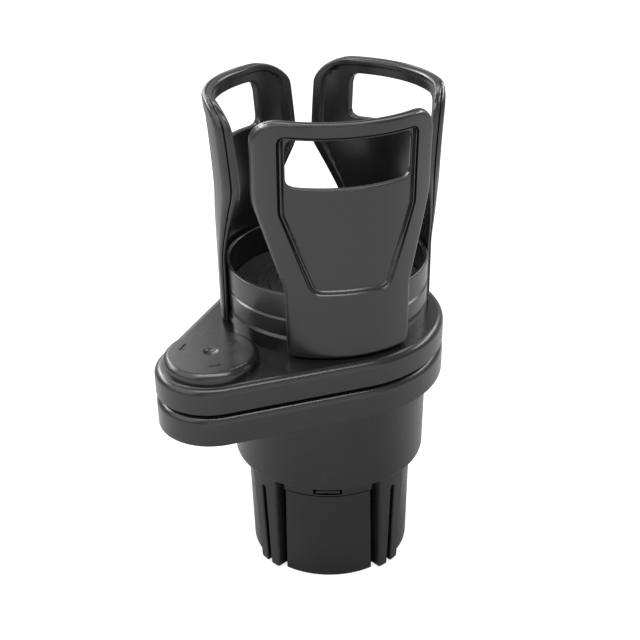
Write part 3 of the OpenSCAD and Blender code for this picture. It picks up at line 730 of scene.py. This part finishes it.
def lower_edge(offset_out, offset_in, z, side=LOFT_SIDE, radius=0.35):
    """Loops of a skirt's lower edge, from its outer face to its inner face."""
    steps = [(offset_out + radius * (1 - cosine), radius * (1 - sine)) for sine, cosine in quarter(3)]
    steps += [(offset_in - radius * (1 - sine), radius * (1 - cosine)) for sine, cosine in quarter(3)]
    return [at_height(teardrop(offset, side), z + lift) for offset, lift in steps]


def add_plate_ribs(bm, bottom, top):
    """Ribs under a plate, round its pivot boss."""
    start, end = PIVOT_BOSS_R - BOSS_SINK, PLATE_PIVOT_R - 1
    reaches = [(degrees, RIB_REACH) for degrees in RIB_FAN] + [(degrees, end) for degrees in SIDE_RIBS]
    for degrees, reach in reaches:
        place = Matrix.Translation((PIVOT_X, 0, 0)) @ turn(degrees)
        add_block(bm, (start, -PLATE_RIB / 2, bottom + PLATE_SIDE),
                  (reach, PLATE_RIB / 2, top - PLATE_SKIN + RIB_SINK), place)


def make_swing_plate():
    under = SWING_TOP - PLATE_SKIN
    boss_top = under + BOSS_SINK
    bores = [whole_circle(PIVOT_X, PIVOT_BORE_R, 48), whole_circle(0, RING_BOLT_BORE_R, 48)]
    bm = bmesh.new()

    def skin(offset, z):
        return add_flat(bm, [(teardrop(offset, 1), z)], [(bore, z) for bore in bores])

    top, *top_bores = skin(PLATE_ROUND, SWING_TOP)
    below, *below_bores = skin(PLATE_SIDE, under)
    loops = rounded_rim(SWING_TOP, PLATE_ROUND, 1)[1:] + lower_edge(0, PLATE_SIDE, SWING_BOTTOM, 1)
    skirt = [top, *([bm.verts.new(p) for p in loop] for loop in loops), below]
    for ring_a, ring_b in [*zip(skirt, skirt[1:]), *zip(top_bores, below_bores)]:
        add_wall(bm, ring_a, ring_b)
    add_plate_ribs(bm, SWING_BOTTOM, SWING_TOP)
    add_tube(bm, PIVOT_BOSS_BORE_R, PIVOT_BOSS_R, SWING_BOTTOM, boss_top, PIVOT_X)
    boss_bottom, bore_bottom = SWING_BOTTOM + RING_BOSS_LIFT, SWING_BOTTOM + PLATE_SIDE
    add_lathe(bm, [(RING_BOSS_BORE_R, bore_bottom), (RING_BOSS_BORE_R, boss_top), (RING_BOSS_R, boss_top),
                   (RING_BOSS_R, boss_bottom), (0, boss_bottom), (0, bore_bottom)], steps=64)
    add_tube(bm, RING_RIB_R, RING_RIB_R + PLATE_RIB, bore_bottom, boss_top, steps=160)
    return finish_mesh(bm, "swing_cover")


dress(make_swing_plate(), "swing", "shell_plastic", SATIN, "swing_plate")


# Lower cup

CUP_EDGE_R = 39.0
CUP_NECK_R = 39.8
CUP_WALL = 2.4
CUP_FLOOR = 2.4
CUP_MOUTH_ROUND = 0.8
CUP_NECK_FILLET = 0.4
# Edge of the cup's foot: (distance in, height)
CUP_FOOT_STEPS = ((0, 0.5), (0.12, 0.12), (0.4, 0))
CUP_FOOT_RECESS = 0.3
CUP_BOSS_R = 5
CUP_BOSS_H = 2.7
CUP_BOSS_EDGE = 0.3
# Heights of the loops on the cup's inner and outer side
BORE_HEIGHTS = (60, 70, 80, 90)
NECK_HEIGHTS = (88, 80, 72, 64, 56)
LOWER_PLATE_T = 11.8
NUT_SPACE = 5.2


def make_lower_cup():
    """Cup and lower plate in one, lofted from the middle of the cup's floor over the rim to its underside."""
    base = teardrop(0)
    plate_bottom = CUP_TOP - LOWER_PLATE_T
    under = CUP_TOP - PLATE_SKIN
    floor_bottom = CUP_BOTTOM + CUP_FOOT_RECESS
    floor_top = floor_bottom + CUP_FLOOR
    foot_in = CUP_EDGE_R - CUP_WALL

    def circle(r, z):
        return at_height(ring_like(base, r), z)

    def bore_r(z):
        return foot_in + (CUP_NECK_R - CUP_EDGE_R) * (z - floor_top) / (CUP_TOP - floor_top)

    def neck_r(z):
        return CUP_EDGE_R + (CUP_NECK_R - CUP_EDGE_R) * (z - CUP_BOTTOM) / (under - CUP_BOTTOM)

    loops = [circle(3, floor_top), circle(15, floor_top), circle(foot_in - 1, floor_top),
             circle(foot_in - 0.3, floor_top + 0.3), circle(foot_in, floor_top + 1)]
    loops += [circle(bore_r(z), z) for z in BORE_HEIGHTS]
    mouth_r = bore_r(CUP_TOP)
    for sine, cosine in quarter(4):
        loops.append(circle(mouth_r + CUP_MOUTH_ROUND * (1 - cosine), CUP_TOP - CUP_MOUTH_ROUND * (1 - sine)))
    rim = rounded_rim(CUP_TOP, PLATE_ROUND)
    loops += [*between(loops[-1], rim[0], 6), *rim, *lower_edge(0, PLATE_SIDE, plate_bottom)]
    loops.append(at_height(teardrop(PLATE_SIDE), under))
    neck_top = under - CUP_NECK_FILLET
    neck = circle(neck_r(under) + CUP_NECK_FILLET, under)
    loops += [*between(loops[-1], neck, 5), neck, circle(neck_r(neck_top), neck_top)]
    loops += [circle(neck_r(z), z) for z in NECK_HEIGHTS]
    loops += [circle(CUP_EDGE_R - step, CUP_BOTTOM + lift) for step, lift in CUP_FOOT_STEPS]
    loops += [circle(foot_in, CUP_BOTTOM), circle(foot_in, floor_bottom), circle(20, floor_bottom),
              circle(3, floor_bottom)]
    bm = bmesh.new()
    add_loft(bm, loops)
    add_plate_ribs(bm, plate_bottom, CUP_TOP)
    add_pin(bm, CUP_BOSS_R, floor_top - BOSS_SINK, floor_top + CUP_BOSS_H, CUP_BOSS_EDGE, steps=64)
    boss_bottom = low("pivot_bolt").z + NUT_SPACE
    add_tube(bm, PIVOT_BOSS_BORE_R, PIVOT_BOSS_R, boss_bottom, under + BOSS_SINK, PIVOT_X)
    return finish_mesh(bm, "lower_holder")


dress(make_lower_cup(), "cup", "shell_plastic", SATIN, "lower_cup")


# Pivot cap

CAP_TOP_R = 15.6
CAP_SKIN = 1.6
DIMPLE_R = 2.7
DIMPLE_DEPTH = 0.8
CAP_EDGE = 0.3
CAP_DRAFT = 0.02
# The cap's curved side: (share of the step out, share of the height down)
CAP_SIDE_SHARES = ((0.94, 0.46), (0.84, 0.34), (0.66, 0.24), (0.5, 0.17), (0.3, 0.08), (0.12, 0.025))
DIMPLE_SHARES = (1.12, 1.03, 0.9, 0.7, 0.45, 0.2)
DIMPLE_RIM_SHARE = 1.06
ARROW_R = 11.0
ARROW_W = 1.0
ARROW_HEAD = 1.5
ARROW_DEPTH = 0.35
ARROW_SLOPE = 0.16
# Angles of an arrow's tail, neck and tip from its middle
ARROW_ANGLES = (-13, 6, 15)


def polar(r, degrees):
    """Point at a radius and an angle."""
    return arc(0, 0, r, degrees, degrees, 1)[0]


def arrow_outline(middle):
    """Curved arrow that runs anticlockwise about the cap's axis, centred on the angle middle."""
    tail, neck, tip = (middle + angle for angle in ARROW_ANGLES)
    outer = arc(0, 0, ARROW_R + ARROW_W / 2, tail, neck, 8)
    head = [polar(ARROW_R + ARROW_HEAD, neck), polar(ARROW_R, tip), polar(ARROW_R - ARROW_HEAD, neck)]
    return outer + head + arc(0, 0, ARROW_R - ARROW_W / 2, neck, tail, 8)


def make_cap():
    def circle(r):
        return whole_circle(0, r, 128)

    height = CAP_TOP - CAP_BOTTOM
    step = CAP_FOOT_R - CAP_TOP_R
    side = [(CAP_FOOT_R - CAP_DRAFT, height), (CAP_FOOT_R - 2 * CAP_DRAFT, height * 0.6)]
    side += [(CAP_TOP_R + step * out, height * down) for out, down in CAP_SIDE_SHARES]
    loops = [(circle(r), depth) for r, depth in [*side, (CAP_TOP_R - CAP_EDGE, 0)]]
    for share in DIMPLE_SHARES:
        loops.append((circle(DIMPLE_R * share), DIMPLE_DEPTH * max(0, 1 - share ** 2 / DIMPLE_RIM_SHARE)))
    for middle in (0, 120, 240):
        mark = arrow_outline(middle)
        loops += [(mark, 0), (inset(mark, ARROW_SLOPE), ARROW_DEPTH)]
    bm = bmesh.new()
    rings = add_flat(bm, loops, [])
    hollow = circle(CAP_TOP_R - CAP_SKIN)
    mouth, ceiling = ([bm.verts.new((p.x, p.y, depth)) for p in hollow] for depth in (height, CAP_SKIN))
    add_wall(bm, rings[0], mouth)
    add_wall(bm, mouth, ceiling)
    bm.faces.new(ceiling)
    for v in bm.verts:
        v.co = Vector((PIVOT_X + v.co.x, v.co.y, CAP_TOP - v.co.z))
    return finish_mesh(bm, "pivot_button", sharp=35)


dress(make_cap(), "swing", "shell_plastic", SATIN, "pivot_cap")


# Base

BASE_R = 33.0
BASE_DRAFT = 1.0
BASE_WALL = 2.4
BASE_CELL = (1.5, 5)
BASE_CORNERS = (0.6, 0, 0, 0.5)
BASE_EDGE = 0.35
BASE_BACK_EDGE = 0.3
PANEL_GAP = 1.6
BAND_GAP = 0.6
BAND_H = 6.6
SEAM_STEP = 0.01
SEAM_END = 0.8
SEAM_W = 0.45
SEAM_SLOPE = 0.12
SEAM_DEPTH = 0.4
LATCH_W = 11.4
LATCH_H = 2.4
LATCH_CORNER = 0.3
LATCH_EDGE = 0.2
TAB_IN = 3.2
TAB_PROUD = 0.6
TAB_SIDE = 0.9
TAB_T = 1.2
TAB_STEM_T = 1.6
TAB_EDGE = 0.2
PANEL_ANGLES = (45, 135, 225, 315)
BLADE_ANGLES = (0, 90, 180, 270)
DECK_DROP = 8.4
DECK_R = 29.4
DECK_BOSS_R = 6.2
DECK_BOSS_H = 3.1
GUIDE_AT = 5.1
GUIDE_HALF = 0.8
GUIDE_SPAN = (13.6, 26)
GUIDE_H = 2.5
GUIDE_SINK = 0.1
BLADE_FOOT_W = 11.0
BLADE_TOP_W = 13.8
BLADE_PROUD = 2.4
BLADE_LEAN = 1.9
BLADE_T = 4.6
BLADE_SLIT = 1.9
BLADE_SLIT_SHARE = 0.875
# Rounding of a blade's corners, from the right prong's inner toe round to the slit
BLADE_CORNERS = (0.7, 1.0, 0.8, 0.8, 1.0, 0.7, 0.7, 0.7)
BLADE_EDGE = 0.6
BLADE_BACK_EDGE = 0.2
WEB_SPAN = (30.8, 31.4)
WEB_HALF = 1.2
WEB_LIFT = 0.6
WEB_EDGE = 0.1
BAR_LIFT = 41.2
BAR_SPAN = (12, 34.5)
BAR_HALF = 4
BAR_T = 2.6
TONGUE_SPAN = (22, 33)
TONGUE_HALF = 3
TONGUE_HEIGHTS = (2.2, 4.8)
BLADE_PIN_R = 1.8
BLADE_PIN_AT = 16
BLADE_PIN_H = 5.4
BLADE_PIN_EDGE = 0.3


def blade_side(z):
    """Half of a blade's width at a height."""
    return (BLADE_FOOT_W + (BLADE_TOP_W - BLADE_FOOT_W) * z / CUP_BOTTOM) / 2


def panel_side(z, gap):
    """Half of a panel's length round the base at a height, to the edge of the blade's window."""
    r = BASE_R
    return r * (math.pi / 4 - math.asin((blade_side(z) + gap) / r))


def base_place(co):
    """Wraps a panel, drawn flat, round the base's cone."""
    r = BASE_R + BASE_DRAFT * co.y / BASE_TOP - co.z
    a = co.x / BASE_R
    return Vector((r * math.cos(a), r * math.sin(a), co.y))


def add_base_panel(bm, angle):
    """Stretch of the base's wall between two blades, with the seam under its band and the latch's window."""
    seam = BASE_TOP - BAND_H
    half = [(panel_side(0, PANEL_GAP), 0), (panel_side(seam, PANEL_GAP), seam),
            (panel_side(seam, BAND_GAP), seam + SEAM_STEP), (panel_side(BASE_TOP, BAND_GAP), BASE_TOP)]
    outline = both_sides(half, BASE_CORNERS, 3)
    latch_top = BASE_TOP - BAND_H / 2
    latch = both_sides([(LATCH_W / 2, latch_top - LATCH_H), (LATCH_W / 2, latch_top)], [LATCH_CORNER] * 2, 3)
    latch_edge = rounded_edge(latch, LATCH_EDGE, -1)[::-1]
    line = panel_side(seam, PANEL_GAP) - SEAM_END
    seam_line = both_sides([(line, seam), (line, seam + SEAM_W)], [0, 0])
    front = rounded_edge(outline, BASE_EDGE, steps=3) + [(seam_line, 0), (inset(seam_line, SEAM_SLOPE), SEAM_DEPTH)]
    back = from_back(rounded_edge(outline, BASE_BACK_EDGE), BASE_WALL)
    part = relief(front, back, [latch_edge], [from_back(latch_edge, BASE_WALL)])
    cut_cells(part, *BASE_CELL)
    bend(part, base_place)
    bmesh.ops.transform(part, matrix=turn(angle), verts=part.verts)
    merge(bm, part)


def add_latch_tab(bm, angle, inner, deck_top):
    """Hooked tab that fills a panel's latch window, on a stem from the deck."""
    hook_z = BASE_TOP - BAND_H / 2 - LATCH_H * 0.75
    half, hook_top = LATCH_W / 2 - TAB_SIDE, hook_z + TAB_T
    stem_z = deck_top - RIB_SINK
    add_block(bm, (inner - TAB_IN, -half, hook_z), (BASE_R + TAB_PROUD, half, hook_top), turn(angle), TAB_EDGE)
    add_block(bm, (inner - TAB_IN, -half, stem_z), (inner - TAB_STEM_T, half, hook_top), turn(angle), TAB_EDGE)


def make_base():
    deck_z = BASE_TOP - DECK_DROP
    deck_top = deck_z + BASE_WALL
    bm = bmesh.new()
    for angle in PANEL_ANGLES:
        add_base_panel(bm, angle)
        add_latch_tab(bm, angle, BASE_R - BASE_WALL, deck_top)
    for angle in BLADE_ANGLES:
        for y in (-GUIDE_AT, GUIDE_AT):
            add_block(bm, (GUIDE_SPAN[0], y - GUIDE_HALF, deck_top - GUIDE_SINK),
                      (GUIDE_SPAN[1], y + GUIDE_HALF, deck_top + GUIDE_H), turn(angle), TAB_EDGE)
    boss_top = deck_top + DECK_BOSS_H
    add_lathe(bm, [(HUB_R, deck_z), (DECK_R, deck_z), (DECK_R, deck_top), (DECK_BOSS_R, deck_top),
                   (DECK_BOSS_R, boss_top), (HUB_R, boss_top)])
    return finish_mesh(bm, "base_shell")


dress(make_base(), "base", "shell_plastic", SATIN, "base_body")


def blade_place(co):
    """Leans and curves a blade, drawn flat: side, height and depth below its face."""
    r = BASE_R + BLADE_PROUD + BLADE_LEAN * co.y / BASE_TOP - co.z
    return Vector((math.sqrt(r * r - co.x * co.x), co.x, co.y + low("blade_1").z))


def make_blade(name, angle):
    """Blade of two prongs joined by a web, with its bar, tongue and pin."""
    foot_z = low("blade_1").z
    height = BASE_TOP - 2 * foot_z
    slit, slit_top = BLADE_SLIT / 2, height * BLADE_SLIT_SHARE
    half = [(slit, 0), (blade_side(0), 0), (blade_side(height), height)]
    points = half + [(-x, y) for x, y in reversed(half)] + [(-slit, slit_top), (slit, slit_top)]
    outline = rounded(points, BLADE_CORNERS, 5)
    back = from_back(rounded_edge(outline, BLADE_BACK_EDGE), BLADE_T)
    bm = relief(rounded_edge(outline, BLADE_EDGE, steps=4), back)
    cut_cells(bm, *BASE_CELL)
    bend(bm, blade_place)

    def add_bar(span, half_width, lowest, highest, edge=0.3):
        add_block(bm, (span[0], -half_width, lowest), (span[1], half_width, highest), None, edge)

    bar_z = foot_z + BAR_LIFT
    add_bar(WEB_SPAN, WEB_HALF, foot_z + WEB_LIFT, slit_top, WEB_EDGE)
    add_bar(BAR_SPAN, BAR_HALF, bar_z, bar_z + BAR_T)
    add_bar(TONGUE_SPAN, TONGUE_HALF, *(foot_z + height for height in TONGUE_HEIGHTS))
    add_pin(bm, BLADE_PIN_R, bar_z + PIN_SINK, bar_z + BLADE_PIN_H, BLADE_PIN_EDGE, BLADE_PIN_AT)
    bmesh.ops.transform(bm, matrix=turn(angle), verts=bm.verts)
    return finish_mesh(bm, name)


for number, (angle, body) in enumerate(zip(BLADE_ANGLES, ("blade_a", "blade_b", "blade_c", "blade_d")), 1):
    blade = make_blade(f"spread_blade_{number}", angle)
    dress(blade, body, "blade_plastic", BLADE_BLACK, f"blade_{number}")


# CAD pieces that stay as they are, with their finishes

KEPT = {
    SATIN: ("base_floor", "arm_guide"),
    GEAR_GREY: ("lower_scroll", "upper_scroll", "pivot_washer"),
    ZINC: ("floor_screws", "scroll_screws", "base_bolt", "pivot_bolt", "pivot_springs", "pivot_nut",
           "guide_screws", "ring_bolt", "ring_screws"),
}
for material, nodes in KEPT.items():
    for node in nodes:
        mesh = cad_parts[node].data
        mesh.materials.clear()
        mesh.materials.append(material)


# Studio

# Distances from the holder in metres, over which the floor changes
SHADE_SPAN = (0.12, 0.5)
PAINTED_MIRROR_SPAN = (0.08, 0.32)
FRONT_SPAN = (-0.2, 0.1)
# The floor's values at the near and the far end: its shade, its glow for the camera, and its painted mirrored glow
FLOOR_SHADE = (0.42, 0.3)
FLOOR_GLOW = (0.75, 1.0)
# Painted glow that only reflections see: none near the holder, as painted shade in the holder's lower reflections,
# and full further out
PAINTED_MIRROR_GLOW = (0.0, 1.0)
# Share of the painted mirrored glow behind the holder and in front of it; the weaker share behind is painted shade
# in the reflections on the holder's sides
PAINTED_MIRROR_FRONT_SHARE = (0.4, 1.0)
# How bright the backdrop looks in a glossy surface, where the camera sees it as white
MIRRORED_SKY = 0.5
WORLD_TINT = (0.9, 0.95, 1.0, 1)
WORLD_STRENGTH = 0.12
WHITE = (1, 1, 1, 1)


def product(tree, a, b):
    node = tree.nodes.new("ShaderNodeMath")
    node.operation = "MULTIPLY"
    tree.links.new(a, node.inputs[0])
    tree.links.new(b, node.inputs[1])
    return node.outputs[0]


def make_floor():
    """White floor that takes the holder's soft shadow and fades into the white backdrop; in reflections it shows a
    painted glow, left out near the holder and weaker behind it as painted shade.
    """
    bm = bmesh.new()
    bmesh.ops.create_grid(bm, x_segments=1, y_segments=1, size=2500)
    bmesh.ops.translate(bm, vec=(0, 0, -0.02), verts=bm.verts)
    floor = finish_mesh(bm, "studio_floor", weighted=False)
    material = bpy.data.materials.new("studio_white")
    material.use_nodes = True
    tree = material.node_tree
    shader = tree.nodes["Principled BSDF"]
    shader.inputs["Roughness"].default_value = 0.9
    shader.inputs["Emission Color"].default_value = WHITE
    place = tree.nodes.new("ShaderNodeTexCoord").outputs["Object"]
    distance = tree.nodes.new("ShaderNodeVectorMath")
    distance.operation = "LENGTH"
    tree.links.new(place, distance.inputs[0])
    near = distance.outputs["Value"]
    shade = remap(tree, near, *SHADE_SPAN, *FLOOR_SHADE)
    path = tree.nodes.new("ShaderNodeLightPath")
    seen = product(tree, remap(tree, near, *SHADE_SPAN, *FLOOR_GLOW), path.outputs["Is Camera Ray"])
    back, _ = camera_axes()
    ahead = tree.nodes.new("ShaderNodeVectorMath")
    ahead.operation = "DOT_PRODUCT"
    ahead.inputs[1].default_value = (back.x, back.y, 0)
    tree.links.new(place, ahead.inputs[0])
    front = remap(tree, ahead.outputs["Value"], *FRONT_SPAN, *PAINTED_MIRROR_FRONT_SHARE)
    # Painted glow for reflections only: left out near the holder and weaker behind it, as painted shade in the
    # holder's reflections
    painted_reflection_glow = product(tree, remap(tree, near, *PAINTED_MIRROR_SPAN, *PAINTED_MIRROR_GLOW), front)
    mirrored = product(tree, painted_reflection_glow, path.outputs["Is Glossy Ray"])
    glow = tree.nodes.new("ShaderNodeMath")
    tree.links.new(seen, glow.inputs[0])
    tree.links.new(mirrored, glow.inputs[1])
    tree.links.new(shade, shader.inputs["Base Color"])
    tree.links.new(glow.outputs[0], shader.inputs["Emission Strength"])
    floor.data.materials.append(material)


def make_world():
    """Dim even light on the holder, and a backdrop that only the camera and glossy surfaces see."""
    world = bpy.data.worlds.new("studio")
    world.use_nodes = True
    bpy.context.scene.world = world
    tree = world.node_tree
    lit = tree.nodes["Background"]
    lit.inputs["Color"].default_value = WORLD_TINT
    lit.inputs["Strength"].default_value = WORLD_STRENGTH
    seen = tree.nodes.new("ShaderNodeBackground")
    seen.inputs["Color"].default_value = WHITE
    path = tree.nodes.new("ShaderNodeLightPath")
    either = tree.nodes.new("ShaderNodeMath")
    either.operation = "MAXIMUM"
    tree.links.new(path.outputs["Is Camera Ray"], either.inputs[0])
    tree.links.new(path.outputs["Is Glossy Ray"], either.inputs[1])
    tree.links.new(remap(tree, path.outputs["Is Camera Ray"], 0, 1, MIRRORED_SKY, 1), seen.inputs["Strength"])
    mix = tree.nodes.new("ShaderNodeMixShader")
    tree.links.new(either.outputs[0], mix.inputs["Fac"])
    tree.links.new(lit.outputs["Background"], mix.inputs[1])
    tree.links.new(seen.outputs["Background"], mix.inputs[2])
    tree.links.new(mix.outputs["Shader"], tree.nodes["World Output"].inputs["Surface"])


def add_softbox(name, place, aim, size, power):
    """Lamp of the given width and height in metres, and power in watts."""
    lamp = bpy.data.lights.new(name, "AREA")
    lamp.shape = "RECTANGLE"
    lamp.size, lamp.size_y = size
    lamp.energy = power
    obj = bpy.data.objects.new(name, lamp)
    bpy.context.scene.collection.objects.link(obj)
    obj.location = Vector(place) * MM
    obj.rotation_euler = (Vector(aim) * MM - obj.location).to_track_quat("-Z", "Y").to_euler()


CAMERA_AZIMUTH = -43.3
CAMERA_ELEVATION = 27.9
CAMERA_DISTANCE = 450.0
CAMERA_TARGET = Vector((-2.13, 2.01, 102.9))
CAMERA_ROLL = 0.96
CAMERA_LENS = 63.3
CAMERA_SENSOR = 36


def camera_axes():
    """Directions from the holder to the camera, and to the camera's right."""
    a, e = math.radians(CAMERA_AZIMUTH), math.radians(CAMERA_ELEVATION)
    back = Vector((math.sin(a) * math.cos(e), -math.cos(a) * math.cos(e), math.sin(e)))
    right = Vector((math.cos(a), math.sin(a), 0))
    return back, right


def make_camera():
    back, _ = camera_axes()
    camera = bpy.data.cameras.new("camera")
    camera.lens = CAMERA_LENS
    camera.sensor_width = CAMERA_SENSOR
    camera.clip_start, camera.clip_end = 0.01, 20
    obj = bpy.data.objects.new("camera", camera)
    bpy.context.scene.collection.objects.link(obj)
    obj.location = (CAMERA_TARGET + back * CAMERA_DISTANCE) * MM
    look = (-back).to_track_quat("-Z", "Y").to_matrix().to_4x4()
    roll = Matrix.Rotation(math.radians(-CAMERA_ROLL), 4, "Z")
    obj.rotation_euler = (look @ roll).to_euler()
    bpy.context.scene.camera = obj


LIGHT_AIM = Vector((0, 0, 110))
# Place as (right of the camera, towards the camera, up) from the holder's axis, then size and power
SOFTBOXES = {
    "key": ((-420, 260, 420), (0.5, 0.5), 1.5),
    "top_strip": ((0, 290, 640), (0.6, 0.12), 2.4),
    "back_strip": ((0, -230, 620), (0.7, 0.14), 1.8),
    "rim_right": ((470, -260, 400), (0.5, 0.1), 1.5),
    "rim_left": ((-470, -260, 400), (0.5, 0.12), 2.4),
    "back_left": ((-330, -500, 390), (0.42, 0.34), 1.05),
    "front_fill": ((180, 620, 240), (0.8, 0.5), 1.0),
}


def make_lights():
    _, right = camera_axes()
    near = Vector((right.y, -right.x, 0))
    for name, ((across, towards, up), size, power) in SOFTBOXES.items():
        add_softbox(name, right * across + near * towards + Z_UP * up, LIGHT_AIM, size, power)


make_floor()
make_world()
make_camera()
make_lights()
bpy.context.scene.view_settings.view_transform = "Standard"
